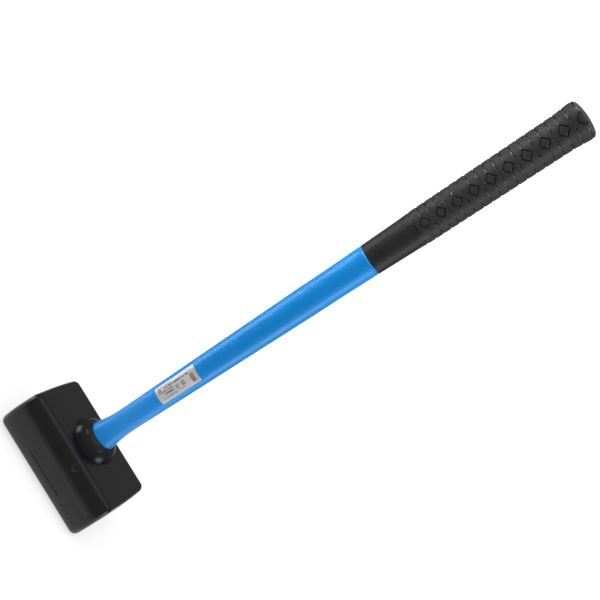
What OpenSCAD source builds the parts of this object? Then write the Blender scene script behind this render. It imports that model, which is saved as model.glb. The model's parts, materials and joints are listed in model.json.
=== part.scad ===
// Long-handled dead-blow hammer. It stands on the flat underside of its head, handle up.
// Origin: middle of the head's underside. +X: along the head, through both striking faces.
// +Z: up the handle. Sizes are in millimetres.

/* [Head] */
// Length over the two crowned striking faces
head_length = 139; // [137:0.5:144]
// Diameter of the round sides and striking faces
head_diameter = 97; // [96:0.5:99]
// Height between the two flats
head_height = 52.5; // [52:0.5:54]
// Radius where a flat rolls over into a round side
ridge_radius = 9; // [8:0.5:10]
// Radius round the rim of a striking face
rim_radius = 7; // [6:0.5:7]
// Rise of a striking face's crown above its rim
face_crown = 1.2; // [1:0.2:2]

/* [Collar] */
// Diameter of the collar where it meets the head's top flat
collar_diameter = 53; // [52.5:0.5:54]
// Height of the collar
collar_height = 13.5; // [13:0.5:14]
// Radius of the collar's gently bulging flank
collar_bulge = 22; // [20:1:28]
// Gap between the collar's lip and the handle jacket
lip_gap = 0.7; // [0.4:0.1:0.8]

/* [Steel carcass] */
// Outer diameter of the steel tube that holds the shot
canister_diameter = 42; // [41.5:0.5:42]
// Wall of that tube
canister_wall = 2.5; // [2:0.5:2.5]
// Length of that tube
canister_length = 120; // [118:1:120]
// Thickness of the discs that close it
disc_thickness = 4; // [3:0.5:4]
// Leg of the weld beads
weld_leg = 2; // [1.5:0.5:2.5]
// Outer diameter of the upright socket that takes the handle
socket_diameter = 30; // [29:0.5:30]
// Wall of the socket
socket_wall = 3; // [2.5:0.5:3]
// Thickness of the plug that closes the socket's foot
plug_thickness = 3; // [2:0.5:4]
// Urethane left under the socket's foot
socket_floor = 4.5; // [4:0.5:4.5]

/* [Shot] */
// Diameter of one ball
ball_diameter = 7.8; // [7.4:0.1:7.8]
// Layers of balls along each chamber
shot_layers = 3; // [2:1:3]
// Free play between neighbouring balls
ball_gap = 0.1; // [0.05:0.05:0.1]

/* [Handle] */
// Height of the whole hammer
overall_height = 620; // [612:1:632]
// Diameter of the glass-fibre core rod
core_diameter = 21; // [20:0.5:21.5]
// Diameter of the jacket's flared foot in the collar
foot_diameter = 31.9; // [31:0.1:32]
// Diameter at the waist, the thinnest point of the jacket
waist_diameter = 25; // [24.6:0.2:26]
// Diameter of the jacket's parallel stretch
parallel_diameter = 30.2; // [29.8:0.2:30.8]
// Height where the parallel stretch starts
parallel_start = 320; // [310:1:325]
// Length of the parallel stretch
parallel_length = 30; // [20:1:40]
// Diameter of the jacket where the grip starts
shoulder_diameter = 31.2; // [31:0.1:31.6]

/* [Grip] */
// Length of the rubber grip, butt included
grip_length = 228; // [224:1:232]
// Length of its smooth lead-in, before the pattern
lead_in = 52; // [50:1:54]
// Diameter of the patterned stretch at its start
grip_start_diameter = 34.4; // [34:0.2:34.8]
// Diameter of the patterned stretch at its end
grip_end_diameter = 35.6; // [35.2:0.2:36]
// Diameter of the flared butt
butt_diameter = 38.3; // [37.8:0.1:39]
// Number of diamonds in each row
diamonds = 10; // [8:1:10]
// Half of a diamond's diagonal
diamond_reach = 6.7; // [6:0.1:7]
// Depth of the grooves in the pattern
groove_depth = 0.9; // [0.6:0.1:1]

/* [Label] */
// Height of the label's lower edge
label_start = 143.5; // [135:0.5:150]
// Length of the label along the handle
label_length = 48.5; // [40:0.5:50]
// Angle that the label wraps round the handle
label_wrap = 80; // [60:1:90]
// Thickness of the label
label_thickness = 0.2; // [0.1:0.05:0.3]

/* [Hidden] */
$fn = 96;

axis_z = head_height / 2;
head_r = head_diameter / 2;
head_half = head_length / 2;
// Radius of the sphere that a striking face is part of
crown_r = (head_r * head_r + face_crown * face_crown) / (2 * face_crown);

collar_top_z = head_height + collar_height;
collar_r = collar_diameter / 2;
// The collar's root is sunk this far into the head
root_depth = 3;
// Flat width left on the collar's lip, outside the bore
lip_land = 0.6;

canister_r = canister_diameter / 2;
chamber_r = canister_r - canister_wall;
canister_half = canister_length / 2;
// Inner face of a disc
disc_face = canister_half - weld_leg - disc_thickness;
socket_r = socket_diameter / 2;
socket_bore_r = socket_r - socket_wall;
socket_top = collar_top_z - 5;
weld_r = socket_r + 2 * weld_leg;
// Width of a bead's crest beside the socket
weld_crest = 0.6;

ball_r = ball_diameter / 2;
ball_pitch = ball_diameter + ball_gap;
// Gap left between a ball and the metal at either end of its travel
end_play = 0.15;
nearest_ball = socket_r + ball_r + end_play;
furthest_ball = disc_face - ball_r - end_play;
// Rest place of the middle layer, half way along the chamber
shot_middle = (nearest_ball + furthest_ball) / 2;

core_r = core_diameter / 2;
core_foot = socket_floor + plug_thickness;
core_top = overall_height - 16;
foot_r = foot_diameter / 2;
foot_top = collar_top_z;
waist_r = waist_diameter / 2;
waist_z = foot_top + 28;
waist_end = waist_z + 6;
// Radius of the arc that flares the jacket from its waist to its foot
flare_r = (pow(waist_z - foot_top, 2) + pow(foot_r - waist_r, 2)) / (2 * (foot_r - waist_r));
parallel_r = parallel_diameter / 2;
parallel_end = parallel_start + parallel_length;
shoulder_r = shoulder_diameter / 2;
grip_foot = overall_height - grip_length;
// Height where the jacket has widened to meet the grip
shoulder_z = grip_foot - 8;
// Radius of the jacket where the grip covers it
sleeve_r = 13.5;

// The grip's foot stands this proud of the jacket
foot_step = 0.1;
// Rise and length of the short step up to the pattern
pattern_rise = 0.5;
pattern_run = 2;
pattern_z = grip_foot + lead_in;
grip_start_r = grip_start_diameter / 2;
grip_end_r = grip_end_diameter / 2;
butt_r = butt_diameter / 2;
butt_flare_z = overall_height - 23;
butt_top_z = overall_height - 8;
butt_rim_z = overall_height - 7;
butt_round = 5;
butt_crown_r = 60;
first_diamond = pattern_z + 9.1;
// The pitch opens a little from each diamond to the next, towards the butt
pitch_start = 16.95;
pitch_growth = 0.225;
diamond_line = 1.6;
ring_groove_r = 0.95;
// Half angle of the plain strip beside the diamonds, at and between the diamonds
ring_gap_wide = 24;
ring_gap_narrow = 11;
band_angle = 90;

// The label follows the jacket's taper
label_side = -4.6;
label_foot_r = taper_r(label_start);
label_top_r = taper_r(label_start + label_length);

// Jacket radius on the long taper between the waist and the parallel stretch
function taper_r(z) = waist_r
    + (parallel_r - waist_r) * (z - waist_end) / (parallel_start - waist_end);
// Height of the centre of diamond i, counted from the grip's foot
function diamond_z(i) = first_diamond + pitch_start * i + pitch_growth * i * (i - 1) / 2;
// Radius of the patterned stretch at height z, and of the flare above it
function band_r(z) = grip_start_r
    + (grip_end_r - grip_start_r) * (z - pattern_z) / (butt_flare_z - pattern_z);
function flared_r(z) = grip_end_r
    + (butt_r - grip_end_r) * (z - butt_flare_z) / (butt_top_z - butt_flare_z);
function pattern_r(z) = z < butt_flare_z ? band_r(z) : min(butt_r, flared_r(z));

// Flat bar outline whose corners ease into an end arc of radius end_r that peaks at end_x
module eased_outline(half_h, corner_r, end_r, end_x, slack) {
    arc_x = end_x - end_r;
    reach = end_r - corner_r - slack;
    corner_y = half_h - corner_r;
    run = sqrt(reach * reach - corner_y * corner_y);
    turn = atan2(corner_y, run);
    touch_x = arc_x + (reach + corner_r) * cos(turn);
    touch_y = (reach + corner_r) * sin(turn);
    tip_x = arc_x + (reach + corner_r) / cos(turn);
    square([2 * (arc_x + run), 2 * half_h], center = true);
    for (sx = [-1, 1], sy = [-1, 1])
        translate([sx * (arc_x + run), sy * corner_y])
            circle(corner_r);
    polygon([
        [touch_x, touch_y], [tip_x, 0], [touch_x, -touch_y],
        [-touch_x, -touch_y], [-tip_x, 0], [-touch_x, touch_y]
    ]);
}

// Round blank of the head, with crowned faces and a rounded rim, lying along X
module round_blank() {
    rotate([0, 90, 0])
        rotate_extrude()
            intersection() {
                rotate(90)
                    eased_outline(head_r, rim_radius, crown_r, head_half, 0.05);
                translate([0, head_half - crown_r])
                    circle(crown_r, $fn = 360);
                translate([0, crown_r - head_half])
                    circle(crown_r, $fn = 360);
                translate([0, -head_half])
                    square([head_r + 1, head_length]);
            }
}

module head_block() {
    translate([0, 0, axis_z])
        intersection() {
            round_blank();
            rotate([90, 0, 90])
                linear_extrude(height = head_length + 2, center = true)
                    eased_outline(axis_z, ridge_radius, head_r, head_r, 0.3);
            rotate([90, 0, 0])
                linear_extrude(height = head_diameter + 2, center = true)
                    eased_outline(axis_z, rim_radius, crown_r, head_half, 0.05);
        }
}

// Boss with a conical, gently bulging flank, moulded in one with the head
module collar() {
    lip_r = foot_r + lip_gap + lip_land;
    // The flank's arc runs from the root up to the lip
    run = collar_r - lip_r;
    chord = norm([run, collar_height]);
    sink = sqrt(collar_bulge * collar_bulge - chord * chord / 4);
    lean = atan2(run, collar_height);
    spread = asin(chord / 2 / collar_bulge);
    centre = [
        (collar_r + lip_r) / 2 - sink * cos(lean),
        head_height + collar_height / 2 - sink * sin(lean)
    ];
    rotate_extrude()
        polygon([
            [0, head_height - root_depth],
            [collar_r, head_height - root_depth],
            for (k = [-1:0.25:1])
                centre + collar_bulge * [cos(lean + k * spread), sin(lean + k * spread)],
            [0, collar_top_z]
        ]);
}

// Space that the steel tube, its discs and their weld beads take up in the moulding
module canister_space() {
    translate([0, 0, axis_z])
        rotate([0, 90, 0])
            difference() {
                cylinder(h = canister_length, r = canister_r, center = true);
                for (side = [0, 180])
                    rotate([side, 0, 0])
                        translate([0, 0, canister_half - weld_leg])
                            cylinder(h = weld_leg, r1 = chamber_r - weld_leg, r2 = chamber_r);
            }
}

module head_shell() {
    color([0.1, 0.1, 0.11])
        difference() {
            union() {
                head_block();
                collar();
            }
            canister_space();
            translate([0, 0, socket_floor])
                cylinder(h = socket_top - socket_floor, r = socket_r);
            for (side = [1, -1])
                socket_bead(side);
            translate([0, 0, socket_top])
                cylinder(h = collar_top_z, r = foot_r + lip_gap);
        }
}

module canister_tube() {
    color([0.55, 0.56, 0.58])
        translate([0, 0, axis_z])
            difference() {
                rotate([0, 90, 0])
                    difference() {
                        cylinder(h = canister_length, r = canister_r, center = true);
                        cylinder(h = canister_length + 2, r = chamber_r, center = true);
                    }
                cylinder(h = canister_diameter + 2, r = socket_r, center = true);
            }
}

module end_disc(side) {
    color([0.6, 0.61, 0.63])
        translate([side * (disc_face + disc_thickness / 2), 0, axis_z])
            rotate([0, 90, 0])
                cylinder(h = disc_thickness, r = chamber_r, center = true);
}

module disc_left() { end_disc(-1); }
module disc_right() { end_disc(1); }

// Bead in the corner between a disc and the end of the tube
module disc_bead(side) {
    color([0.42, 0.41, 0.4])
        translate([0, 0, axis_z])
            rotate([0, 90 * side, 0])
                rotate_extrude()
                    polygon([
                        [chamber_r - weld_leg, canister_half - weld_leg],
                        [chamber_r, canister_half - weld_leg],
                        [chamber_r, canister_half]
                    ]);
}

module disc_weld_left() { disc_bead(-1); }
module disc_weld_right() { disc_bead(1); }

module handle_socket() {
    color([0.5, 0.51, 0.53])
        translate([0, 0, socket_floor])
            difference() {
                cylinder(h = socket_top - socket_floor, r = socket_r);
                translate([0, 0, -1])
                    cylinder(h = socket_top - socket_floor + 2, r = socket_bore_r);
            }
}

// Bead that seats the socket on the tube, above it for side 1 and below it for side -1
module socket_bead(side) {
    bead_top = side > 0 ? canister_r + weld_leg : axis_z - socket_floor;
    translate([0, 0, axis_z])
        difference() {
            mirror([0, 0, side > 0 ? 0 : 1])
                rotate_extrude()
                    polygon([
                        [socket_r, 0],
                        [weld_r, 0],
                        [weld_r, canister_r - 2 * weld_leg],
                        [socket_r + weld_crest, bead_top],
                        [socket_r, bead_top]
                    ]);
            rotate([0, 90, 0])
                cylinder(h = canister_length, r = canister_r, center = true);
        }
}

module socket_weld_top() {
    color([0.42, 0.41, 0.4])
        socket_bead(1);
}

module socket_weld_bottom() {
    color([0.42, 0.41, 0.4])
        socket_bead(-1);
}

module socket_plug() {
    color([0.5, 0.51, 0.53])
        translate([0, 0, socket_floor])
            cylinder(h = plug_thickness, r = socket_bore_r);
}

// One layer: a ball in the middle and two rings of six round it
module shot_layer() {
    sphere(ball_r);
    for (turn = [0:60:300]) {
        rotate([turn, 0, 0])
            translate([0, ball_pitch, 0])
                sphere(ball_r);
        rotate([turn + 30, 0, 0])
            translate([0, ball_pitch * sqrt(3), 0])
                sphere(ball_r);
    }
}

module shot(side) {
    color([0.7, 0.71, 0.73])
        for (layer = [0:shot_layers - 1])
            translate([side * (shot_middle + ball_pitch * (layer - (shot_layers - 1) / 2)), 0, axis_z])
                shot_layer();
}

module shot_left() { shot(-1); }
module shot_right() { shot(1); }

module handle_bond() {
    color([0.75, 0.62, 0.3])
        translate([0, 0, core_foot])
            difference() {
                cylinder(h = socket_top - core_foot, r = socket_bore_r);
                translate([0, 0, -1])
                    cylinder(h = socket_top - core_foot + 2, r = core_r);
            }
}

module core_rod() {
    color([0.86, 0.82, 0.66])
        translate([0, 0, core_foot])
            cylinder(h = core_top - core_foot, r = core_r);
}

// Ring of sealant low in the gap between the collar's lip and the jacket's foot
module jacket_seal() {
    color([0.05, 0.05, 0.05])
        translate([0, 0, socket_top])
            difference() {
                cylinder(h = collar_height / 4, r = foot_r + lip_gap);
                translate([0, 0, -1])
                    cylinder(h = collar_height / 4 + 2, r = foot_r);
            }
}

module jacket() {
    color([0.02, 0.2, 0.6])
        rotate_extrude()
            difference() {
                polygon([
                    [core_r, socket_top],
                    [foot_r, socket_top],
                    [foot_r, foot_top],
                    [waist_r, waist_z],
                    [waist_r, waist_end],
                    [parallel_r, parallel_start],
                    [parallel_r, parallel_end],
                    [shoulder_r, shoulder_z],
                    [shoulder_r, grip_foot],
                    [sleeve_r, grip_foot],
                    [sleeve_r, core_top],
                    [core_r, core_top]
                ]);
                translate([waist_r + flare_r, waist_z])
                    circle(flare_r, $fn = 360);
            }
}

module label() {
    color([0.75, 0.76, 0.78])
        rotate([0, 0, -90 + label_side - label_wrap / 2])
            rotate_extrude(angle = label_wrap)
                polygon([
                    [label_foot_r, label_start],
                    [label_foot_r + label_thickness, label_start],
                    [label_top_r + label_thickness, label_start + label_length],
                    [label_top_r, label_start + label_length]
                ]);
}

module grip_body() {
    rotate_extrude()
        difference() {
            union() {
                polygon([
                    [0, grip_foot],
                    [shoulder_r + foot_step, grip_foot],
                    [grip_start_r - pattern_rise, pattern_z - pattern_run],
                    [grip_start_r, pattern_z],
                    [grip_end_r, butt_flare_z],
                    [butt_r, butt_top_z],
                    [butt_r, butt_rim_z],
                    [0, butt_rim_z]
                ]);
                intersection() {
                    translate([0, overall_height - butt_crown_r])
                        circle(butt_crown_r, $fn = 360);
                    union() {
                        translate([0, butt_top_z])
                            square([butt_r - butt_round, overall_height - butt_top_z]);
                        translate([butt_r - butt_round, butt_rim_z])
                            circle(butt_round);
                    }
                    translate([0, butt_top_z])
                        square([butt_r, overall_height - butt_top_z]);
                }
            }
            translate([0, grip_foot - 1])
                square([sleeve_r, core_top - grip_foot + 1]);
        }
}

// Groove that runs round one side of the grip at height z, short of the diamonds
module ring_groove(z, gap, side) {
    rotate([0, 0, side + gap - band_angle])
        rotate_extrude(angle = 2 * band_angle - 2 * gap)
            translate([pattern_r(z) + ring_groove_r - groove_depth, z])
                circle(ring_groove_r, $fn = 24);
}

// Square groove on its corner at height z, cut into the front or the back of the grip
module diamond_groove(z, side) {
    rotate([0, 0, side])
        translate([0, -pattern_r(z) + groove_depth, z])
            rotate([90, 0, 0])
                linear_extrude(height = 2 * groove_depth)
                    difference() {
                        circle(diamond_reach, $fn = 4);
                        circle(diamond_reach - diamond_line, $fn = 4);
                    }
}

module grip() {
    color([0.09, 0.09, 0.1])
        difference() {
            grip_body();
            translate([0, 0, pattern_z])
                rotate_extrude()
                    translate([pattern_r(pattern_z) + ring_groove_r - groove_depth, 0])
                        circle(ring_groove_r, $fn = 24);
            for (i = [0:diamonds - 1], side = [0, 180]) {
                diamond_groove(diamond_z(i), side);
                ring_groove(diamond_z(i), ring_gap_wide, side);
                if (i > 0)
                    ring_groove((diamond_z(i - 1) + diamond_z(i)) / 2, ring_gap_narrow, side);
            }
        }
}

head_shell();
canister_tube();
disc_left();
disc_right();
disc_weld_left();
disc_weld_right();
handle_socket();
socket_weld_top();
socket_weld_bottom();
socket_plug();
shot_left();
shot_right();
handle_bond();
core_rod();
jacket_seal();
jacket();
label();
grip();
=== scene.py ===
"""Looks of the long-handled dead-blow hammer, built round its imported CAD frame.

The hammer stands on the flat underside of its head: +Z runs up the handle, +X along the head, and
the camera looks along +Y. Shapes are worked out in millimetres and become metres when a mesh is made.
"""

import json
import math

import bpy
import numpy as np
from mathutils import Matrix, Vector

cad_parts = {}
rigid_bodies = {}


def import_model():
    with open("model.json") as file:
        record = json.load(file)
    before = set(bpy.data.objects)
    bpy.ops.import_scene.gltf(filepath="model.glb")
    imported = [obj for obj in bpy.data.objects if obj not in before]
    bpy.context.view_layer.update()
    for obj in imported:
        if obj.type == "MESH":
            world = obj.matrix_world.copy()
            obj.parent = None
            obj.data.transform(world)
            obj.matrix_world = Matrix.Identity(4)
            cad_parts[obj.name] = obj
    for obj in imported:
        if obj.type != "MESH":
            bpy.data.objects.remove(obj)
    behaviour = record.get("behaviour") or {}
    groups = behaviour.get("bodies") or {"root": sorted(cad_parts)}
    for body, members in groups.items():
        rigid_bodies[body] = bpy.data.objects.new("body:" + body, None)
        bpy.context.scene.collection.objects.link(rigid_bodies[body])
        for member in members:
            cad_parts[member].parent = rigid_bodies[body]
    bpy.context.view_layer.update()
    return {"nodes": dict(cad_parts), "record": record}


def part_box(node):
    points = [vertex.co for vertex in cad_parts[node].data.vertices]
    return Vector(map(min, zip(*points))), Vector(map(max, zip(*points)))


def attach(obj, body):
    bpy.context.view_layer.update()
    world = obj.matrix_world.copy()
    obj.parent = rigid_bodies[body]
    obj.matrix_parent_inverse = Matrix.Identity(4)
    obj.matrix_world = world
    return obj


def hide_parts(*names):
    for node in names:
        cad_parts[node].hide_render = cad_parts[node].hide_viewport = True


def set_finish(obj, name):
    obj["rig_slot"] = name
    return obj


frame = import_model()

MM = 0.001
# Slack for comparing lengths and shares
TINY = 1e-6
NODES = frame["nodes"]


def box_mm(node):
    """Lowest and highest corners of a CAD node, in millimetres."""
    low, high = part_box(node)
    return np.array(low) / MM, np.array(high) / MM


# ---------------------------------------------------------------- sizes, in millimetres

# Overall sizes come from the frame's boxes, and the others keep close to the CAD part's own.
_, HEAD_HIGH = box_mm("head_shell")
_, JACKET_HIGH = box_mm("jacket")
GRIP_LOW, GRIP_HIGH = box_mm("grip")
LABEL_LOW, LABEL_HIGH = box_mm("label")
SEAL_LOW, SEAL_HIGH = box_mm("jacket_seal")

HEAD_TOP = 52.5
HEAD_AXIS = HEAD_TOP / 2
HEAD_R = HEAD_HIGH[1]
HEAD_END = HEAD_HIGH[0]
RIDGE_R = 9.0
RIM_R = 7.0
FACE_CROWN = 1.2
CROWN_R = (HEAD_R**2 + FACE_CROWN**2) / (2 * FACE_CROWN)

COLLAR_TOP = HEAD_HIGH[2]
COLLAR_R = 26.5
COLLAR_BULGE = 22.0
ROOT_FILLET = 0.5
LIP_ROUND = 0.3
LIP_LAND = 0.6
BORE_R = SEAL_HIGH[0]
BORE_FLOOR = SEAL_LOW[2]

FOOT_R = 15.95
WAIST_R = 12.5
WAIST_Z = COLLAR_TOP + 28
WAIST_END = WAIST_Z + 6
# Radius of the hollow sweep from the foot to the waist
FLARE_R = ((WAIST_Z - COLLAR_TOP) ** 2 + (FOOT_R - WAIST_R) ** 2) / (2 * (FOOT_R - WAIST_R))
PARALLEL_R = 15.1
PARALLEL_START = 320.0
PARALLEL_END = 350.0
SHOULDER_R = 15.6
CORE_R = 10.5
SLEEVE_R = 13.5
# Chamfer at the jacket's foot, and the longest reach over which its kinks are eased
FOOT_CHAMFER = 0.3
JACKET_EASE = 6.0
JACKET_SIDES = 128
GRIP_FOOT = GRIP_LOW[2]
SHOULDER_Z = GRIP_FOOT - 8
SLEEVE_TOP = JACKET_HIGH[2]

# Where the smooth lead-in ends
PATTERN_Z = GRIP_FOOT + 52
GRIP_START_R = 17.2
GRIP_END_R = 17.8
BUTT_R = GRIP_HIGH[0]
BUTT_Z = GRIP_HIGH[2]
FLARE_Z = BUTT_Z - 23
BUTT_FULL_Z = BUTT_Z - 8
BUTT_ROUND = 5.0
BUTT_CROWN_R = 60.0
# Centre of the round at the butt's edge, as a radius and a height
EDGE_R = BUTT_R - BUTT_ROUND
EDGE_Z = BUTT_Z - BUTT_CROWN_R + math.sqrt((BUTT_CROWN_R - BUTT_ROUND) ** 2 - EDGE_R**2)
# The pattern runs a little way over the butt's round
PATTERN_END = EDGE_Z + 2
# The photo shows the ring grooves shallower than the CAD part has them
RING_DEPTH = 0.65
RING_WIDTH = 1.4
DIAMONDS = 10
FIRST_DIAMOND = PATTERN_Z + 9.1
# Distance from the first diamond to the second, and how much it grows with each place
PITCH_START = 16.95
PITCH_GROWTH = 0.225
# Half diagonals of the first diamond's outer edge, across the grip and along it
DIAMOND_ACROSS = 6.5
DIAMOND_ALONG = 6.0
# Growth of the diamonds with each place, as a share of the first
DIAMOND_GROWTH = 0.018
DIAMOND_DEPTH = 0.9
DIAMOND_LINE = 1.6
# Turns the outline's formula into a distance
DIAMOND_SCALE = 1 / math.hypot(1 / DIAMOND_ACROSS, 1 / DIAMOND_ALONG)
# How far from the row's middle line the ring grooves stop, level with a diamond and between two
RING_GAP_WIDE = math.radians(24)
RING_GAP_NARROW = math.radians(11)

LABEL_START = LABEL_LOW[2]
LABEL_END = LABEL_HIGH[2]
LABEL_TURN = math.radians(-4.6)
LABEL_WRAP = math.radians(80)
LABEL_THICKNESS = 0.2
# Clearance between the film's back and the jacket
LABEL_GAP = 0.02
LABEL_CORNER = 1.5
# The handle's radius at the label's middle
LABEL_MIDDLE_R = 13.6
LABEL_COLUMNS = 74
LABEL_ROW = 0.3


# ---------------------------------------------------------------- mesh helpers


def make_piece(name, verts, faces, slot, stands_for, normals=None):
    """A smooth mesh piece, in metres, that rides on the hammer's main body."""
    mesh = bpy.data.meshes.new(name)
    mesh.from_pydata((np.array(verts) * MM).tolist(), [], faces)
    mesh.polygons.foreach_set("use_smooth", [True] * len(mesh.polygons))
    mesh.update()
    if normals is not None:
        mesh.normals_split_custom_set_from_vertices(np.array(normals).tolist())
    piece = bpy.data.objects.new(name, mesh)
    bpy.context.scene.collection.objects.link(piece)
    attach(piece, "root")
    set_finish(piece, slot)
    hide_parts(*stands_for)
    return piece


def add_points(verts, points):
    """Adds a ring of points to verts and gives back their numbers."""
    first = len(verts)
    verts += points
    return list(range(first, len(verts)))


def merged_lines(*groups, apart=0.12):
    """Sorted grid lines from several lists, without those closer than apart to the line before."""
    lines = np.sort(np.concatenate(groups))
    keep = [lines[0]]
    for value in lines[1:]:
        if value - keep[-1] > apart:
            keep.append(value)
    return np.array(keep)


def spaced(start, stop, step):
    """Evenly spaced lines from start to stop, no further apart than step."""
    return np.linspace(start, stop, max(2, int(math.ceil(abs(stop - start) / step)) + 1))


def smooth_step(t):
    """Eases from 0 to 1 as t goes from 0 to 1."""
    t = np.clip(t, 0, 1)
    return t * t * (3 - 2 * t)


def ring_faces(rings):
    """Quads between neighbouring closed rings of vertex numbers; a ring of one number is a pole."""
    faces = []
    for low, high in zip(rings, rings[1:]):
        count = max(len(low), len(high))
        for k in range(count):
            n = (k + 1) % count
            if len(low) == 1:
                faces.append((low[0], high[n], high[k]))
            elif len(high) == 1:
                faces.append((low[k], low[n], high[0]))
            else:
                faces.append((low[k], low[n], high[n], high[k]))
    return faces


def lathe(outline, sides):
    """Turns a closed outline of (radius, height) points round Z, with the solid on its left."""
    verts = []
    turns = np.linspace(0, 2 * math.pi, sides, endpoint=False)
    rings = []
    for r, z in outline:
        rings.append(add_points(verts, [(r * math.cos(a), r * math.sin(a), z) for a in turns]))
    return verts, ring_faces(rings + rings[:1])


def arc(cx, cy, r, start, stop, count):
    """Points on an arc about (cx, cy), its ends included, with angles in degrees."""
    angles = np.radians(np.linspace(start, stop, count + 1))
    return [(cx + r * math.cos(a), cy + r * math.sin(a)) for a in angles]


# ---------------------------------------------------------------- head

FILLET_STEPS = 8
# The upper front fillet is finer, because part of the oval mark lies on it
FRONT_FILLET_STEPS = 26
RIM_STEPS = 8
FACE_RINGS = 12
# How far the body's last grid line stays clear of the rim
RIM_CLEAR = 0.6
# Half side of the square in the top flat's grid that the collar's mesh fills
HOLE = 32.0
PANEL_X = (-24.8, 27.8)
PANEL_Z = (14.4, 31.3)
PANEL_CORNER = 1.6
PANEL_DEPTH = 0.7
# Width of the slope at the edge of the panel and of a flute
WALL = 0.9
FLUTE_XS = (36.5, 41.5, 46.5, 51.5, 56.5)
FLUTE_WIDTH = 2.8
FLUTE_DEPTH = 0.9
# How far the flutes' middle lies below the panel's, their extra length and run-out at each end
FLUTE_DROP = 1.5
FLUTE_EXTRA = 2.5
FLUTE_RUN = 5.0
# Middle of the small oval mark, along the head and up its side, its half sizes and its height
MARK_X = 14.0
MARK_S = 21.0
MARK_HALF = (2.8, 4.0)
MARK_RISE = 0.55
# Width of the mark's slopes, as a share of its half sizes
MARK_LINE = 0.2


def front_arc(z):
    """Arc length up the head's round front side, from the axis height to height z."""
    return HEAD_R * math.asin((z - HEAD_AXIS) / HEAD_R)


def near(values, reach=2.0, step=0.35):
    """Fine grid lines within reach of each value."""
    return np.concatenate([np.arange(v - reach, v + reach + TINY, step) for v in values])


def section_lines():
    """The head's section across X: (y, z, normal y, normal z, arc length on the front) per line.

    Heights are counted from the head's axis, and the arc length is None away from the front.
    """
    half = HEAD_TOP / 2
    zc = half - RIDGE_R
    yc = math.sqrt((HEAD_R - RIDGE_R) ** 2 - zc**2)
    touch = math.degrees(math.atan2(zc, yc))
    top_arc = HEAD_R * math.radians(touch)
    points = []

    def flat(ys, sz):
        for y in ys:
            points.append((y, sz * half, 0, sz, None))

    def fillet(sy, sz, start, stop, steps=FILLET_STEPS, front=False):
        for a in np.radians(np.linspace(start, stop, steps + 1)[1:-1]):
            c, s = math.cos(a), math.sin(a)
            arc_length = top_arc + RIDGE_R * (math.radians(start) - a) if front else None
            points.append((sy * yc + RIDGE_R * c, sz * zc + RIDGE_R * s, c, s, arc_length))

    def side(angles, front):
        for a in angles:
            c, s = math.cos(a), math.sin(a)
            arc_length = HEAD_R * (math.pi - a) if front else None
            points.append((HEAD_R * c, HEAD_R * s, c, s, arc_length))

    across = merged_lines(spaced(-HOLE, HOLE, 1.5), spaced(HOLE, yc, 2), spaced(-yc, -HOLE, 2))
    front_lines = merged_lines(
        spaced(-top_arc, top_arc, 1.6),
        near([front_arc(z) for z in PANEL_Z]),
        spaced(top_arc - 6, top_arc, 0.35),
    )
    front_lines = front_lines[(front_lines >= -top_arc) & (front_lines <= top_arc)]
    flat(across, 1)
    fillet(1, 1, 90, touch)
    side(np.radians(np.linspace(touch, -touch, 25)), False)
    fillet(1, -1, -touch, -90)
    flat(across[::-1], -1)
    fillet(-1, -1, 270, 180 + touch)
    side(math.pi - front_lines / HEAD_R, True)
    fillet(-1, 1, 180 - touch, 90, FRONT_FILLET_STEPS, True)
    return points


def rounded_box_distance(x, y, half_x, half_y, corner):
    """Signed distance to a rectangle with rounded corners, centred on zero."""
    qx = np.abs(x) - half_x + corner
    qy = np.abs(y) - half_y + corner
    return np.hypot(np.maximum(qx, 0), np.maximum(qy, 0)) + np.minimum(np.maximum(qx, qy), 0) - corner


def front_relief(x, s):
    """Height of the moulded detail on the head's front: a sunk panel, flutes and a small oval mark."""
    s_low, s_high = (front_arc(z) for z in PANEL_Z)
    s_mid, s_half = (s_low + s_high) / 2, (s_high - s_low) / 2
    x_mid, x_half = sum(PANEL_X) / 2, (PANEL_X[1] - PANEL_X[0]) / 2
    distance = rounded_box_distance(x - x_mid, s - s_mid, x_half, s_half, PANEL_CORNER)
    height = -PANEL_DEPTH * smooth_step(0.5 - distance / WALL)
    for flute_x in FLUTE_XS:
        wall = smooth_step(0.5 - (abs(x - flute_x) - FLUTE_WIDTH / 2) / WALL)
        end = smooth_step((s_half + FLUTE_EXTRA - abs(s - s_mid + FLUTE_DROP)) / FLUTE_RUN)
        height -= FLUTE_DEPTH * wall * end
    # The mark straddles the line where the round side meets the ridge's fillet
    mark_x, mark_s = (x - MARK_X) / MARK_HALF[0], (s - MARK_S) / MARK_HALF[1]
    ring = abs(math.hypot(mark_x, mark_s) - 1)
    height += MARK_RISE * smooth_step(1.4 - ring / MARK_LINE)
    if abs(mark_s) < 1:
        height += MARK_RISE * smooth_step(1.5 - abs(mark_x) / MARK_LINE)
    return height


def head_lines():
    """Grid lines along X."""
    ends = HEAD_END - RIM_R - FACE_CROWN - RIM_CLEAR
    flutes = spaced(FLUTE_XS[0] - FLUTE_WIDTH, FLUTE_XS[-1] + FLUTE_WIDTH, 0.4)
    lines = merged_lines(
        spaced(-HOLE, HOLE, 1.6),
        spaced(HOLE, ends, 2.5),
        spaced(-ends, -HOLE, 2.5),
        near(PANEL_X),
        near([MARK_X], MARK_HALF[0] + 1, 0.3),
        flutes,
    )
    # The hole's two edges have to be lines of the grid
    lines[np.argmin(np.abs(lines - HOLE))] = HOLE
    lines[np.argmin(np.abs(lines + HOLE))] = -HOLE
    return lines


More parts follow.
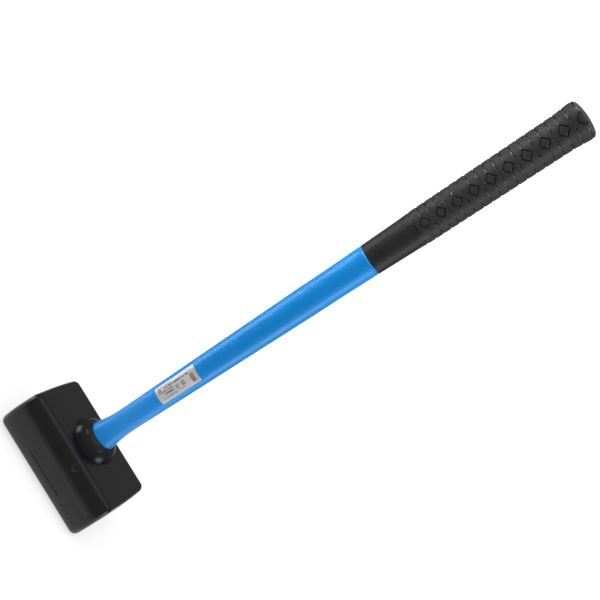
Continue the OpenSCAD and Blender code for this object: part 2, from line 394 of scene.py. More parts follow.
def rim_and_face(section, side):
    """Rings of points from the end of the round body over the rim and across a striking face."""
    sphere_x = HEAD_END - CROWN_R
    rings = [[] for _ in range(RIM_STEPS + 1)]
    for y, z, ny, nz, _ in section:
        cy, cz = y - RIM_R * ny, z - RIM_R * nz
        cx = sphere_x + math.sqrt((CROWN_R - RIM_R) ** 2 - cy**2 - cz**2)
        outward = Vector((0, ny, nz))
        face_normal = Vector((cx - sphere_x, cy, cz)).normalized()
        for k in range(RIM_STEPS + 1):
            n = outward.slerp(face_normal, k / RIM_STEPS)
            rings[k].append((side * (cx + RIM_R * n.x), cy + RIM_R * n.y, cz + RIM_R * n.z))
    edge = rings[-1]
    for share in np.linspace(1, 0, FACE_RINGS + 1)[1:]:
        if share < TINY:
            rings.append([(side * HEAD_END, 0, 0)])
            continue
        ring = []
        for _, y, z in edge:
            fy, fz = share * y, share * z
            ring.append((side * (sphere_x + math.sqrt(CROWN_R**2 - fy**2 - fz**2)), fy, fz))
        rings.append(ring)
    return rings


def collar_profile():
    """(radius, height) points from the collar's root, up its bulging flank and into the bore."""
    lip_r = BORE_R + LIP_LAND
    run, rise = COLLAR_R - lip_r, COLLAR_TOP - HEAD_TOP
    chord = math.hypot(run, rise)
    sink = math.sqrt(COLLAR_BULGE**2 - chord**2 / 4)
    centre_r = (COLLAR_R + lip_r) / 2 - sink * rise / chord
    centre_z = (HEAD_TOP + COLLAR_TOP) / 2 - sink * run / chord
    # The root fillet touches both the flat and the flank
    fillet_z = HEAD_TOP + ROOT_FILLET
    reach = COLLAR_BULGE + ROOT_FILLET
    fillet_r = centre_r + math.sqrt(reach**2 - (fillet_z - centre_z) ** 2)
    start = math.degrees(math.atan2(fillet_z - centre_z, fillet_r - centre_r))
    stop = math.degrees(math.asin((COLLAR_TOP - LIP_ROUND - centre_z) / COLLAR_BULGE))
    points = arc(fillet_r, fillet_z, ROOT_FILLET, 270, 180 + start, 6)
    points += arc(centre_r, centre_z, COLLAR_BULGE, start, stop, 14)[1:]
    top_r = points[-1][0]
    return points + [
        (top_r - LIP_ROUND * 0.4, COLLAR_TOP - LIP_ROUND * 0.25),
        (top_r - LIP_ROUND, COLLAR_TOP),
        (BORE_R + LIP_ROUND * 0.2, COLLAR_TOP),
        (BORE_R, COLLAR_TOP - LIP_ROUND),
        (BORE_R, (COLLAR_TOP + BORE_FLOOR) / 2),
        (BORE_R, BORE_FLOOR),
    ]


def head_body(section, xs):
    """The head between its rims, with the collar's hole open.

    Gives back its vertices, its faces and the grid of vertex numbers, which is -1 in the hole.
    """
    verts = []
    faces = []
    grid = np.full((len(xs), len(section)), -1)
    hidden_x = np.abs(xs) < HOLE - TINY
    hidden_y = [nz == 1 and abs(y) < HOLE - TINY for y, _, _, nz, _ in section]
    for i, x in enumerate(xs):
        for j, (y, z, ny, nz, s) in enumerate(section):
            if hidden_x[i] and hidden_y[j]:
                continue
            lift = 0 if s is None else front_relief(x, s)
            grid[i, j] = len(verts)
            verts.append((x, y + lift * ny, z + lift * nz))
    count = len(section)
    for i in range(len(xs) - 1):
        across_hole = abs(xs[i] + xs[i + 1]) / 2 < HOLE
        for j in range(count):
            n = (j + 1) % count
            on_top = section[j][3] == 1 == section[n][3]
            if across_hole and on_top and abs(section[j][0] + section[n][0]) / 2 < HOLE:
                continue
            quad = (grid[i, j], grid[i + 1, j], grid[i + 1, n], grid[i, n])
            faces.append(tuple(int(v) for v in quad))
    return verts, faces, grid


def hole_loop(section, xs, grid):
    """Vertex numbers round the collar's hole."""
    rows = [i for i, x in enumerate(xs) if abs(x) <= HOLE + TINY]
    columns = [j for j, p in enumerate(section) if p[3] == 1 and abs(p[0]) <= HOLE + TINY]
    loop = [grid[i, columns[0]] for i in rows]
    loop += [grid[rows[-1], j] for j in columns[1:]]
    loop += [grid[i, columns[-1]] for i in rows[-2::-1]]
    loop += [grid[rows[0], j] for j in columns[-2:0:-1]]
    return [int(v) for v in loop]


def head_skin():
    """Head and collar in one moulding: flats, round sides, crowned faces, front relief and boss."""
    section = section_lines()
    xs = head_lines()
    verts, faces, grid = head_body(section, xs)
    for side, start in ((1, grid[-1]), (-1, grid[0])):
        rings = [[int(v) for v in start]]
        for ring in rim_and_face(section, side):
            rings.append(add_points(verts, ring))
        found = ring_faces(rings)
        faces += [f[::-1] for f in found] if side > 0 else found
    verts = [(x, y, z + HEAD_AXIS) for x, y, z in verts]

    loop = hole_loop(section, xs, grid)
    angles = [math.atan2(verts[v][1], verts[v][0]) for v in loop]
    profile = collar_profile()
    # One ring on the flat, half way between the square hole and the collar's root
    root_r = profile[0][0]
    middle = []
    for v, a in zip(loop, angles):
        x, y, _ = verts[v]
        middle.append(((x + root_r * math.cos(a)) / 2, (y + root_r * math.sin(a)) / 2, HEAD_TOP))
    rings = [loop, add_points(verts, middle)]
    for r, z in profile:
        rings.append(add_points(verts, [(r * math.cos(a), r * math.sin(a), z) for a in angles]))
    rings.append(add_points(verts, [(0, 0, BORE_FLOOR)]))
    faces += ring_faces(rings)
    make_piece("head_skin", verts, faces, "head_urethane", ["head_shell"])


# ---------------------------------------------------------------- handle


def jacket_r(z):
    """The jacket's radius at height z, above the collar's lip."""
    if z < WAIST_Z:
        return WAIST_R + FLARE_R - math.sqrt(FLARE_R**2 - (WAIST_Z - z) ** 2)
    heights = (WAIST_END, PARALLEL_START, PARALLEL_END, SHOULDER_Z)
    return float(np.interp(z, heights, (WAIST_R, PARALLEL_R, PARALLEL_R, SHOULDER_R)))


def eased(radius, z, reach):
    """Mean of radius(height) at nine heights within reach of z, which eases kinks."""
    return sum(radius(z + reach * k / 4) for k in range(-4, 5)) / 9


def eased_jacket_r(z):
    """jacket_r with its kinks eased, except close to the jacket's two ends."""
    return eased(jacket_r, z, min(JACKET_EASE, z - COLLAR_TOP, GRIP_FOOT - z))


def jacket_skin():
    """Jacket from its foot in the collar up to the sleeve under the grip."""
    outline = [(CORE_R, BORE_FLOOR), (FOOT_R - FOOT_CHAMFER, BORE_FLOOR)]
    outline += [(FOOT_R, BORE_FLOOR + FOOT_CHAMFER)]
    outline += [(eased_jacket_r(z), z) for z in spaced(COLLAR_TOP, GRIP_FOOT, 2)]
    outline += [(SLEEVE_R, GRIP_FOOT), (SLEEVE_R, SLEEVE_TOP), (CORE_R, SLEEVE_TOP)]
    verts, faces = lathe(outline, JACKET_SIDES)
    make_piece("jacket_skin", verts, faces, "jacket_plastic", ["jacket"])


def label_skin():
    """Thin printed film wrapped on the front of the jacket, with rounded corners."""
    rows = spaced(LABEL_START, LABEL_END, LABEL_ROW)
    columns = np.linspace(-1, 1, LABEL_COLUMNS)
    verts = []
    outer = np.zeros((len(rows), len(columns)), int)
    inner = np.zeros((len(rows), len(columns)), int)
    for layer, lift in ((outer, LABEL_THICKNESS), (inner, LABEL_GAP)):
        for i, z in enumerate(rows):
            r = eased_jacket_r(z)
            drop = max(0.0, LABEL_CORNER - min(z - LABEL_START, LABEL_END - z))
            trim = (LABEL_CORNER - math.sqrt(LABEL_CORNER**2 - drop**2)) / r
            half = LABEL_WRAP / 2 - trim
            for j, c in enumerate(columns):
                a = LABEL_TURN + c * half
                layer[i, j] = len(verts)
                verts.append(((r + lift) * math.sin(a), -(r + lift) * math.cos(a), z))
    faces = []
    last_i, last_j = len(rows) - 1, len(columns) - 1
    for i in range(last_i):
        for j in range(last_j):
            faces.append((outer[i, j], outer[i, j + 1], outer[i + 1, j + 1], outer[i + 1, j]))
            faces.append((inner[i, j], inner[i + 1, j], inner[i + 1, j + 1], inner[i, j + 1]))
    for i in range(last_i):
        faces.append((outer[i, 0], outer[i + 1, 0], inner[i + 1, 0], inner[i, 0]))
        faces.append((outer[i, last_j], inner[i, last_j], inner[i + 1, last_j], outer[i + 1, last_j]))
    for j in range(last_j):
        faces.append((outer[0, j], inner[0, j], inner[0, j + 1], outer[0, j + 1]))
        faces.append((outer[last_i, j], outer[last_i, j + 1], inner[last_i, j + 1], inner[last_i, j]))
    faces = [tuple(int(v) for v in f) for f in faces]
    make_piece("label_skin", verts, faces, "label_film", ["label"])


# ---------------------------------------------------------------- grip

# Half width of the strip that holds the diamonds, and the spacing of its grid lines
STRIP_HALF = 8.4
STRIP_STEP = 0.28
# Grid lines from one strip to the next, the strips' own edges included
COARSE_LINES = 44
# Spacing of the rings of points below the pattern, and in it
SMOOTH_RING = 3
PATTERN_RING = 0.25
# Points across the round at the butt's edge, and again across its crown, their ends included
BUTT_STEPS = 10
# Small bevel at the grip's foot: its height and its width
FOOT_BEVEL = (0.3, 0.15)


def grip_base(z):
    """The grip's radius at height z without its pattern, up to the butt's edge."""
    heights = (GRIP_FOOT, PATTERN_Z - 2, PATTERN_Z, FLARE_Z, BUTT_FULL_Z, BUTT_Z)
    radii = (SHOULDER_R + 0.1, GRIP_START_R - 0.5, GRIP_START_R, GRIP_END_R, BUTT_R, BUTT_R)
    return np.interp(z, heights, radii)


def eased_grip_base(z):
    """grip_base with its kinks eased."""
    return eased(lambda height: grip_base(np.clip(height, GRIP_FOOT, BUTT_FULL_Z)), z, 4)


def diamond_z(i):
    """Height of the centre of diamond i, counted from the head's side."""
    return FIRST_DIAMOND + PITCH_START * i + PITCH_GROWTH * i * (i - 1) / 2


def pattern_shares(turn, z):
    """How far into a ring groove and into a diamond's a point lies: 0 outside, 1 on its middle."""
    side_turn = np.abs((turn + math.pi / 2) % math.pi - math.pi / 2)
    across = side_turn * grip_base(z)
    half = RING_WIDTH / 2

    def ring(height, gap):
        short = gap * grip_base(height) + half
        return 1 - np.hypot(np.maximum(short - across, 0), z - height) / half

    rings = 1 - np.abs(z - PATTERN_Z) / half
    diamonds = np.zeros_like(rings)
    for i in range(DIAMONDS):
        centre = diamond_z(i)
        size = 1 + DIAMOND_GROWTH * i
        edge = (across / DIAMOND_ACROSS + np.abs(z - centre) / DIAMOND_ALONG - size) * DIAMOND_SCALE
        diamonds = np.maximum(diamonds, 1 - np.abs(edge / (DIAMOND_LINE / 2) + 1))
        rings = np.maximum(rings, ring(centre, RING_GAP_WIDE))
        if i:
            rings = np.maximum(rings, ring((diamond_z(i - 1) + centre) / 2, RING_GAP_NARROW))
    return np.clip(rings, 0, 1), np.clip(diamonds, 0, 1)


def hollow(share):
    """A groove's depth, as a share of its full depth: sharp edges and a rounded bottom."""
    return np.sqrt(1 - (1 - share) ** 2)


def grip_surface(turn, z):
    """Points of the patterned outside; turn 0 is the front, and z grows towards the butt."""
    rings, diamonds = pattern_shares(turn, z)
    depth = np.maximum(RING_DEPTH * hollow(rings), DIAMOND_DEPTH * hollow(diamonds))
    over = np.maximum(z - EDGE_Z, 0)
    r = eased_grip_base(z) - BUTT_ROUND + np.sqrt(BUTT_ROUND**2 - over**2) - depth
    return np.stack([r * np.sin(turn), -r * np.cos(turn), z], -1)


def grip_skin():
    """Rubber grip: smooth lead-in, grooves and diamonds cut in its surface, flared butt."""
    fine = np.arange(-STRIP_HALF, STRIP_HALF + TINY, STRIP_STEP) / GRIP_START_R
    coarse = np.linspace(fine[-1], math.pi - fine[-1], COARSE_LINES)[1:-1]
    turns = np.concatenate([fine, coarse, fine + math.pi, coarse + math.pi])
    smooth_end = PATTERN_Z - 4
    heights = np.concatenate([
        [GRIP_FOOT + FOOT_BEVEL[0]],
        spaced(GRIP_FOOT + 2, smooth_end, SMOOTH_RING),
        spaced(smooth_end, PATTERN_END, PATTERN_RING)[1:],
    ])
    turn_grid, z_grid = np.meshgrid(turns, heights)
    points = grip_surface(turn_grid, z_grid)
    # Normals of the surface itself, from points a little to each side
    step = 0.02
    turn_step = step / GRIP_START_R
    along = grip_surface(turn_grid, z_grid + step) - grip_surface(turn_grid, z_grid - step)
    across = grip_surface(turn_grid + turn_step, z_grid) - grip_surface(turn_grid - turn_step, z_grid)
    normals = np.cross(across, along)
    normals /= np.linalg.norm(normals, axis=-1, keepdims=True)
    # Share of the grooves at each point, which drives the grooves' painted shade and their gloss
    groove_shade_and_gloss = np.maximum(*pattern_shares(turn_grid, z_grid)).ravel()
    count = len(turns)
    verts = points.reshape(-1, 3).tolist()
    vertex_normals = normals.reshape(-1, 3).tolist()
    rings = [list(range(i * count, (i + 1) * count)) for i in range(len(heights))]

    def add_ring(r, z, nr, nz):
        rings.append(add_points(verts, [(r * math.sin(a), -r * math.cos(a), z) for a in turns]))
        vertex_normals.extend((nr * math.sin(a), -nr * math.cos(a), nz) for a in turns)

    def add_pole(z, nz):
        rings.append(add_points(verts, [(0, 0, z)]))
        vertex_normals.append((0, 0, nz))

    # The rest of the round at the butt's edge, then its crowned end
    crown_z = BUTT_Z - BUTT_CROWN_R
    start = math.asin((PATTERN_END - EDGE_Z) / BUTT_ROUND)
    stop = math.atan2(EDGE_Z - crown_z, EDGE_R)
    for a in np.linspace(start, stop, BUTT_STEPS)[1:]:
        c, s = math.cos(a), math.sin(a)
        add_ring(EDGE_R + BUTT_ROUND * c, EDGE_Z + BUTT_ROUND * s, c, s)
    for r in np.linspace(BUTT_CROWN_R * math.cos(stop), 0, BUTT_STEPS)[1:-1]:
        height = math.sqrt(BUTT_CROWN_R**2 - r**2)
        add_ring(r, crown_z + height, r / BUTT_CROWN_R, height / BUTT_CROWN_R)
    add_pole(BUTT_Z, 1)
    faces = ring_faces(rings)

    # Foot edge and the socket that the sleeve fills
    rings = rings[:1]
    add_ring(SHOULDER_R - FOOT_BEVEL[1], GRIP_FOOT, 0, -1)
    add_ring(SLEEVE_R, GRIP_FOOT, 0, -1)
    add_ring(SLEEVE_R, SLEEVE_TOP, -1, 0)
    add_pole(SLEEVE_TOP, -1)
    faces += [f[::-1] for f in ring_faces(rings)]
    piece = make_piece("grip_skin", verts, faces, "grip_rubber", ["grip"], vertex_normals)
    # How deep each point lies in the pattern, for the painted shade and the gloss in the grooves
    groove = piece.data.attributes.new("groove", "FLOAT", "POINT")
    groove.data.foreach_set("value", np.pad(groove_shade_and_gloss, (0, len(verts) - len(groove_shade_and_gloss))))


# ---------------------------------------------------------------- materials


class Nodes:
    """Short calls for the nodes of one tree, which is emptied first."""

    def __init__(self, tree):
        self.tree = tree
        tree.nodes.clear()

    def add(self, kind, values=None, **props):
        """Adds a node with these properties and inputs; an input given as a socket is linked."""
        node = self.tree.nodes.new(kind)
        for key, value in props.items():
            setattr(node, key, value)
        for key, value in (values or {}).items():
            socket = node.inputs[key]
            if isinstance(value, bpy.types.NodeSocket):
                self.link(value, socket)
            else:
                socket.default_value = value
        return node

    def link(self, source, target):
        self.tree.links.new(source, target)

    def math(self, operation, a, b=0.0, clamp=False):
        node = self.add("ShaderNodeMath", {0: a, 1: b}, operation=operation, use_clamp=clamp)
        return node.outputs[0]

    def spread(self, value, low, high, to_low=0.0, to_high=1.0, curve="LINEAR"):
        """Maps value from low..high to to_low..to_high, clamped at both ends."""
        node = self.add("ShaderNodeMapRange", {
            "Value": value, "From Min": low, "From Max": high, "To Min": to_low, "To Max": to_high,
        }, interpolation_type=curve)
        return node.outputs[0]


class Shader(Nodes):
    """A node material with a Principled BSDF and short calls for the nodes that feed it."""

    def __init__(self, name, surface=None):
        self.material = bpy.data.materials.new(name)
        self.material.use_nodes = True
        super().__init__(self.material.node_tree)
        self.out = self.add("ShaderNodeOutputMaterial")
        self.bsdf = self.add("ShaderNodeBsdfPrincipled", surface)
        self.link(self.bsdf.outputs["BSDF"], self.out.inputs["Surface"])
        self.coords = self.add("ShaderNodeTexCoord").outputs["Object"]

    def noise(self, scale, detail, rough, stretch=(1, 1, 1), distortion=0.0):
        """Noise over the object's coordinates, which stretch scales along each axis."""
        mapping = self.add("ShaderNodeMapping", {"Vector": self.coords, "Scale": stretch})
        return self.add("ShaderNodeTexNoise", {
            "Vector": mapping.outputs[0], "Scale": scale, "Detail": detail,
            "Roughness": rough, "Distortion": distortion,
        }).outputs["Fac"]

    def voronoi(self, scale, feature="F1"):
        values = {"Vector": self.coords, "Scale": scale}
        return self.add("ShaderNodeTexVoronoi", values, feature=feature).outputs["Distance"]

    def mix(self, factor, a, b):
        """Colour a where factor is 0 and b where it is 1."""
        return self.add("ShaderNodeMix", {0: factor, 6: a, 7: b}, data_type="RGBA").outputs[2]

    def feed(self, socket, value):
        """Links value to an input of the Principled BSDF."""
        self.link(value, self.bsdf.inputs[socket])

    def bump(self, layers):
        """Chains bump layers of (height, strength, distance in metres) into the normal."""
        normal = None
        for height, strength, distance in layers:
            values = {"Height": height, "Strength": strength, "Distance": distance}
            if normal is not None:
                values["Normal"] = normal
            normal = self.add("ShaderNodeBump", values).outputs[0]
        self.feed("Normal", normal)


def rgba(r, g, b):
    """An opaque colour."""
    return (r, g, b, 1.0)


def head_urethane():
    """Black moulded urethane: soft gloss, faint mottling, a fine grain and a few dull scuffs."""
    s = Shader("head_urethane", {"IOR": 1.41})
    mottle = s.noise(55, 4, 0.55)
    grain = s.noise(1800, 2, 0.5)
    scuffs = s.spread(s.noise(140, 6, 0.7, (1, 1, 3.5), 0.6), 0.60, 0.74)
    s.feed("Base Color", s.mix(mottle, rgba(0.0055, 0.0054, 0.0058), rgba(0.0085, 0.0083, 0.0088)))
    rough = s.spread(mottle, 0.3, 0.7, 0.20, 0.27)
    s.feed("Roughness", s.math("ADD", rough, s.math("MULTIPLY", scuffs, 0.10)))
    pebble = s.noise(620, 3, 0.6)
    s.bump([
        (s.noise(26, 2, 0.5), 0.25, 0.0009),
        (mottle, 0.25, 0.0003),
        (pebble, 0.35, 0.00026),
        (grain, 0.12, 0.00008),
    ])
    return s.material


def jacket_plastic():
    """Blue moulded jacket: satin gloss with a slight ripple and drawn-out tone along the handle."""
    s = Shader("jacket_plastic", {"IOR": 1.44})
    tone = s.noise(30, 3, 0.5, (1, 1, 0.25))
    s.feed("Base Color", s.mix(tone, rgba(0.003, 0.32, 0.90), rgba(0.005, 0.355, 0.95)))
    s.feed("Roughness", s.spread(s.noise(160, 4, 0.6, (1, 1, 0.4)), 0.3, 0.7, 0.30, 0.40))
    s.bump([(s.noise(60, 2, 0.5, (1, 1, 0.3)), 0.2, 0.0005), (s.noise(1500, 2, 0.5), 0.08, 0.00006)])
    return s.material


def grip_rubber():
    """Satin black rubber: pebbled grain, lighter handled high spots, glossier grooves with painted
    shade in them.
    """
    s = Shader("grip_rubber", {"IOR": 1.46})
    pebble = s.voronoi(1400, "SMOOTH_F1")
    mottle = s.noise(90, 4, 0.6)
    groove = s.add("ShaderNodeAttribute", attribute_name="groove").outputs["Fac"]
    smooth = s.mix(mottle, rgba(0.014, 0.014, 0.0147), rgba(0.020, 0.020, 0.021))
    textured = s.mix(mottle, rgba(0.024, 0.024, 0.0252), rgba(0.034, 0.034, 0.0357))
    place = s.add("ShaderNodeSeparateXYZ", {0: s.coords}).outputs
    in_pattern = s.spread(place["Z"], (PATTERN_Z - 1) * MM, (PATTERN_Z + 1) * MM)
    rubbed = s.mix(in_pattern, smooth, textured)
    # Painted shade: the grooves are darkened to near black, as if shade fell in them
    s.feed("Base Color", s.mix(groove, rubbed, rgba(0.004, 0.004, 0.004)))
    handled = s.spread(mottle, 0.3, 0.7, 0.42, 0.52)
    s.feed("Roughness", s.math("SUBTRACT", handled, s.math("MULTIPLY", groove, 0.29)))
    s.bump([(mottle, 0.25, 0.0003), (s.noise(620, 3, 0.6), 0.3, 0.00022), (pebble, 0.3, 0.00014)])
    return s.material


def label_film():
    """Satin silver film with a plain printed layout: blocks, bars and rows of dashes, no lettering."""
    s = Shader("label_film", {"IOR": 1.5, "Metallic": 0.25})
    place = s.add("ShaderNodeSeparateXYZ", {0: s.coords}).outputs
    turn = s.math("ARCTAN2", place["X"], s.math("MULTIPLY", place["Y"], -1.0))
    # Millimetres from the label's middle across it, and up from its lower edge
    across = s.math("MULTIPLY", s.math("SUBTRACT", turn, LABEL_TURN), LABEL_MIDDLE_R)
    up = s.math("SUBTRACT", s.math("MULTIPLY", place["Z"], 1 / MM), LABEL_START)

    def within(value, low, high):
        values = {0: value, 1: (low + high) / 2, 2: (high - low) / 2}
        return s.add("ShaderNodeMath", values, operation="COMPARE").outputs[0]

    def box(left, right, low, high):
        return s.math("MULTIPLY", within(across, left, right), within(up, low, high))

    def print_on(colour, ink, mask, strength=1.0):
        return s.mix(s.math("MULTIPLY", mask, strength), colour, ink)

    dashes = s.math("GREATER_THAN", s.noise(1500, 0, 0.5, (0.35, 0.35, 1)), 0.38)
    bars = s.math("GREATER_THAN", s.math("FRACT", s.math("MULTIPLY", up, 1.05)), 0.42)
    tone = s.noise(200, 3, 0.5)
    colour = s.mix(tone, rgba(0.70, 0.69, 0.69), rgba(0.80, 0.79, 0.78))
    # A pale blue edge on the left, a brown plate with a darker part, and a white panel
    colour = print_on(colour, rgba(0.74, 0.82, 0.90), s.math("GREATER_THAN", -6.0, across), 0.7)
    colour = print_on(colour, rgba(0.34, 0.30, 0.24), box(-2.6, 6.8, 40.6, 44.8), 0.8)
    colour = print_on(colour, rgba(0.36, 0.24, 0.10), box(2.8, 6.4, 41.2, 44.2), 0.6)
    colour = print_on(colour, rgba(0.90, 0.90, 0.90), box(-2.4, 7.2, 20.6, 39.6), 0.8)
    # Ink, its pattern, the box that it fills and its strength
    prints = (
        (rgba(0.09, 0.08, 0.08), dashes, (-5.1, -3.7, 10.0, 40.4), 0.90),
        (rgba(0.05, 0.07, 0.07), bars, (-1.2, 3.8, 28.6, 33.4), 0.80),
        (rgba(0.07, 0.10, 0.10), bars, (-1.0, 3.6, 21.8, 26.2), 0.80),
        (rgba(0.10, 0.08, 0.07), dashes, (-1.9, -0.9, 3.0, 19.6), 0.90),
        (rgba(0.12, 0.12, 0.11), dashes, (0.6, 2.6, 8.6, 19.4), 0.75),
        (rgba(0.42, 0.20, 0.12), dashes, (4.8, 6.0, 4.4, 31.4), 0.70),
        (rgba(0.16, 0.15, 0.15), dashes, (-7.6, -5.8, 3.4, 20.0), 0.50),
    )
    for ink, pattern, edges, strength in prints:
        colour = print_on(colour, ink, s.math("MULTIPLY", pattern, box(*edges)), strength)
    # A small ring near the lower edge
    ring_across = s.math("SUBTRACT", across, -4.3)
    ring_up = s.math("SUBTRACT", up, 4.6)
    across_squared = s.math("MULTIPLY", ring_across, ring_across)
    up_squared = s.math("MULTIPLY", ring_up, ring_up)
    radius = s.math("SQRT", s.math("ADD", across_squared, up_squared))
    colour = print_on(colour, rgba(0.16, 0.03, 0.04), within(radius, 0.75, 1.55))
    s.feed("Base Color", colour)
    s.feed("Roughness", s.spread(tone, 0.3, 0.7, 0.34, 0.42))
    s.bump([(s.noise(300, 3, 0.5), 0.15, 0.0001)])
    return s.material


def carcass_steel():
    """Drawn mild steel with fine lengthwise lines and a little mill scale."""
    s = Shader("carcass_steel", {"Metallic": 1.0})
    lines = s.noise(500, 4, 0.6, (0.06, 1, 1))
    scale = s.spread(s.noise(60, 5, 0.6), 0.55, 0.72)
    s.feed("Base Color", s.mix(scale, rgba(0.42, 0.43, 0.45), rgba(0.20, 0.19, 0.185)))
    s.feed("Roughness", s.spread(lines, 0.3, 0.7, 0.28, 0.46))
    s.bump([(lines, 0.25, 0.00008)])
    return s.material


def weld_metal():
    """Rippled weld bead with heat tint."""
    s = Shader("weld_metal", {"Metallic": 1.0})
    ripple = s.voronoi(420, "SMOOTH_F1")
    tint = s.noise(120, 4, 0.6)
    s.feed("Base Color", s.mix(tint, rgba(0.26, 0.23, 0.21), rgba(0.33, 0.33, 0.37)))
    s.feed("Roughness", s.spread(tint, 0.3, 0.7, 0.32, 0.55))
    s.bump([(ripple, 0.6, 0.0005)])
    return s.material


def steel_shot():
    """Polished steel balls with a thin oil haze."""
    s = Shader("steel_shot", {"Metallic": 1.0})
    haze = s.noise(320, 4, 0.6)
    s.feed("Base Color", s.mix(haze, rgba(0.55, 0.55, 0.56), rgba(0.66, 0.66, 0.67)))
    s.feed("Roughness", s.spread(haze, 0.3, 0.7, 0.12, 0.26))
    s.bump([(s.noise(900, 2, 0.5), 0.08, 0.00005)])
    return s.material


def epoxy():
    """Cast amber resin with small bubbles."""
    s = Shader("epoxy", {"IOR": 1.55, "Coat Weight": 0.3})
    bubbles = s.spread(s.voronoi(700), 0.0, 0.25)
    tone = s.noise(150, 3, 0.5)
    s.feed("Base Color", s.mix(tone, rgba(0.42, 0.26, 0.07), rgba(0.52, 0.34, 0.10)))
    s.feed("Roughness", s.spread(tone, 0.3, 0.7, 0.18, 0.3))
    s.bump([(bubbles, 0.3, 0.0002)])
    return s.material


def glass_fibre():
    """Pultruded rod: pale resin with strands along the handle."""
    s = Shader("glass_fibre", {"IOR": 1.52})
    strands = s.noise(1400, 3, 0.6, (1, 1, 0.02))
    s.feed("Base Color", s.mix(strands, rgba(0.52, 0.47, 0.30), rgba(0.70, 0.66, 0.48)))
    s.feed("Roughness", s.spread(strands, 0.3, 0.7, 0.35, 0.55))
    s.bump([(strands, 0.3, 0.0001)])
    return s.material


def sealant():
    """Matt black bead with a slightly tooled surface."""
    s = Shader("sealant", {"IOR": 1.45})
    tone = s.noise(400, 4, 0.6)
    s.feed("Base Color", s.mix(tone, rgba(0.006, 0.006, 0.006), rgba(0.012, 0.012, 0.012)))
    s.feed("Roughness", s.spread(tone, 0.3, 0.7, 0.55, 0.75))
    s.bump([(tone, 0.4, 0.0002)])
    return s.material


def assign(obj, material):
    """Makes material the object's only one."""
    obj.data.materials.clear()
    obj.data.materials.append(material)


def dress(slots, materials):
    """Gives every CAD node and every piece the material of its slot."""
    for node, slot in slots.items():
        assign(NODES[node], materials[slot])
    for piece in [o for o in bpy.data.objects if o.get("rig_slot")]:
        assign(piece, materials[piece["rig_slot"]])


# ---------------------------------------------------------------- stage, light and camera

EXPOSURE = 0.42
# The floor is whole up to the first distance from the hammer and gone from the second on
FLOOR_CLEAR = 0.17
FLOOR_FADE = 0.38
FLOOR_RINGS = (0.3, 0.6, 1.0, 1.5)
FLOOR_SIDES = 96
# How far the floor lies below the head, which keeps the two surfaces apart
FLOOR_DROP = 0.0002
FLOOR_GLOW = 0.46
# Radiance of the room at its horizon and overhead, and how fast it rises between them
ROOM_LOW = 0.13
ROOM_HIGH = 0.40
ROOM_BEND = 0.75
# How much the room brightens towards the camera's side
ROOM_TILT = 0.20
# Points that the softboxes are turned to: the whole hammer, or its grip alone
HAMMER_TARGET = (0, 0, 0.25)
GRIP_TARGET = (0, 0, 0.56)
CAMERA_DISTANCE = 0.855
CAMERA_TILT = math.radians(13.5)
CAMERA_YAW = math.radians(3.3)
# Height of the aim point, and how far left of the handle it lies in the camera's view
AIM_Z = 0.3143
AIM_LEFT = 0.0047
# Cosine and sine of the roll that lays the handle towards the upper right
ROLL_UP, ROLL_SIDE = 0.55136, 0.83427
LENS = 54.0


def floor():
    """Pale studio floor that thins out into the backdrop away from the hammer."""
    mesh = bpy.data.meshes.new("floor")
    verts = [(0, 0, 0)]
    rings = [[0]]
    turns = [2 * math.pi * k / FLOOR_SIDES for k in range(FLOOR_SIDES)]
    for r in FLOOR_RINGS:
        rings.append(add_points(verts, [(r * math.cos(a), r * math.sin(a), 0) for a in turns]))
    mesh.from_pydata(verts, [], ring_faces(rings))
    obj = bpy.data.objects.new("floor", mesh)
    obj.location.z = -FLOOR_DROP
    bpy.context.scene.collection.objects.link(obj)
    s = Shader("studio_floor", {
        "Roughness": 0.6, "Specular IOR Level": 0.2,
        "Emission Color": rgba(1, 1, 1), "Emission Strength": FLOOR_GLOW,
    })
    s.feed("Base Color", s.mix(s.noise(3, 2, 0.5), rgba(0.86, 0.86, 0.86), rgba(0.90, 0.90, 0.90)))
    distance = s.add("ShaderNodeVectorMath", {0: s.coords}, operation="LENGTH").outputs["Value"]
    fade = s.spread(distance, FLOOR_CLEAR, FLOOR_FADE, curve="SMOOTHSTEP")
    clear = s.add("ShaderNodeBsdfTransparent").outputs[0]
    mix = s.add("ShaderNodeMixShader", {0: fade, 1: s.bsdf.outputs[0], 2: clear}).outputs[0]
    s.link(mix, s.out.inputs["Surface"])
    obj.data.materials.append(s.material)


def backdrop():
    """White backdrop for the camera, over a dim studio for everything that the hammer reflects."""
    world = bpy.data.worlds.new("studio")
    bpy.context.scene.world = world
    world.use_nodes = True
    n = Nodes(world.node_tree)
    # The room brightens from its horizon to its ceiling
    direction = n.add("ShaderNodeTexCoord").outputs["Generated"]
    upwards = {0: direction, 1: (0, -ROOM_TILT, 1)}
    height = n.add("ShaderNodeVectorMath", upwards, operation="DOT_PRODUCT").outputs["Value"]
    bend = n.math("POWER", height, ROOM_BEND, clamp=True)
    radiance = n.spread(bend, 0.0, 1.0, ROOM_LOW, ROOM_HIGH)
    room = n.add("ShaderNodeBackground", {"Color": rgba(1.0, 0.985, 1.0), "Strength": radiance})
    paper = n.add("ShaderNodeBackground", {"Color": rgba(1, 1, 1), "Strength": 1.0})
    seen = n.add("ShaderNodeLightPath").outputs["Is Camera Ray"]
    mix = n.add("ShaderNodeMixShader", {0: seen, 1: room.outputs[0], 2: paper.outputs[0]})
    n.add("ShaderNodeOutputWorld", {"Surface": mix.outputs[0]})


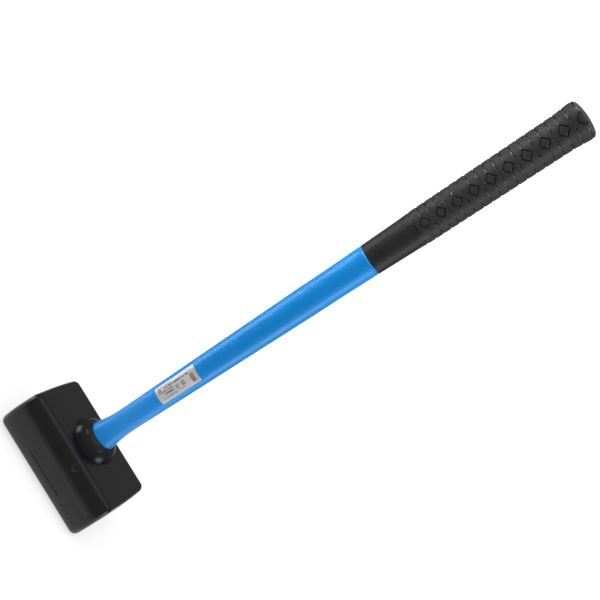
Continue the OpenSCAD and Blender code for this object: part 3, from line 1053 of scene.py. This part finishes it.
def softbox(name, azimuth, elevation, distance, size, radiance, target=HAMMER_TARGET, spread=180):
    """Area light seen from the target at azimuth (0 is the camera's side, 90 is +X) and elevation.

    Spread is the angle of its beam in degrees, and 180 is an open beam.
    """
    data = bpy.data.lights.new(name, "AREA")
    data.shape = "RECTANGLE"
    data.size, data.size_y = size
    data.energy = radiance * math.pi * size[0] * size[1]
    data.spread = math.radians(spread)
    light = bpy.data.objects.new(name, data)
    az, el = math.radians(azimuth), math.radians(elevation)
    away = Vector((math.sin(az) * math.cos(el), -math.cos(az) * math.cos(el), math.sin(el)))
    light.location = Vector(target) + distance * away
    light.rotation_euler = away.to_track_quat("Z", "Y").to_euler()
    bpy.context.scene.collection.objects.link(light)


def camera():
    """The photograph's view: a little above the handle's middle, rolled so that it leans right."""
    data = bpy.data.cameras.new("camera")
    data.sensor_width = 36.0
    data.lens = LENS
    data.clip_start = 0.01
    obj = bpy.data.objects.new("camera", data)
    bpy.context.scene.collection.objects.link(obj)
    turn = Matrix.Rotation(CAMERA_YAW, 3, "Z")
    back = turn @ Vector((0, -math.cos(CAMERA_TILT), math.sin(CAMERA_TILT)))
    level_up = turn @ Vector((0, math.sin(CAMERA_TILT), math.cos(CAMERA_TILT)))
    level_right = turn @ Vector((1, 0, 0))
    aim = Vector((0, 0, AIM_Z)) - AIM_LEFT * level_right
    up = (ROLL_UP * level_up - ROLL_SIDE * level_right).normalized()
    right = up.cross(back)
    place = Matrix((right, up, back)).transposed().to_4x4()
    place.translation = aim + CAMERA_DISTANCE * back
    obj.matrix_world = place
    bpy.context.scene.camera = obj


# ---------------------------------------------------------------- scene

camera()
floor()
backdrop()
# Name, azimuth, elevation, distance, (width, height) and radiance
softbox("key_left", -86, -14, 1.25, (0.62, 0.7), 3.1)
softbox("key_right", 86, -14, 1.25, (0.62, 0.7), 2.7)
softbox("grip_left", -74, 30, 1.25, (0.35, 0.35), 1.0, target=GRIP_TARGET, spread=28)
softbox("grip_right", 74, 30, 1.25, (0.35, 0.35), 0.6, target=GRIP_TARGET, spread=28)
softbox("overhead", 0, 78, 1.4, (1.4, 0.9), 0.5)

head_skin()
jacket_skin()
label_skin()
grip_skin()

MATERIALS = {
    "head_urethane": head_urethane(),
    "carcass_steel": carcass_steel(),
    "weld_metal": weld_metal(),
    "steel_shot": steel_shot(),
    "epoxy": epoxy(),
    "glass_fibre": glass_fibre(),
    "sealant": sealant(),
    "jacket_plastic": jacket_plastic(),
    "label_film": label_film(),
    "grip_rubber": grip_rubber(),
}
SLOTS = {part["node"]: part["material_slot"] for part in frame["record"]["subparts"]}
dress(SLOTS, MATERIALS)

bpy.context.scene.view_settings.view_transform = "Standard"
bpy.context.scene.view_settings.exposure = EXPOSURE
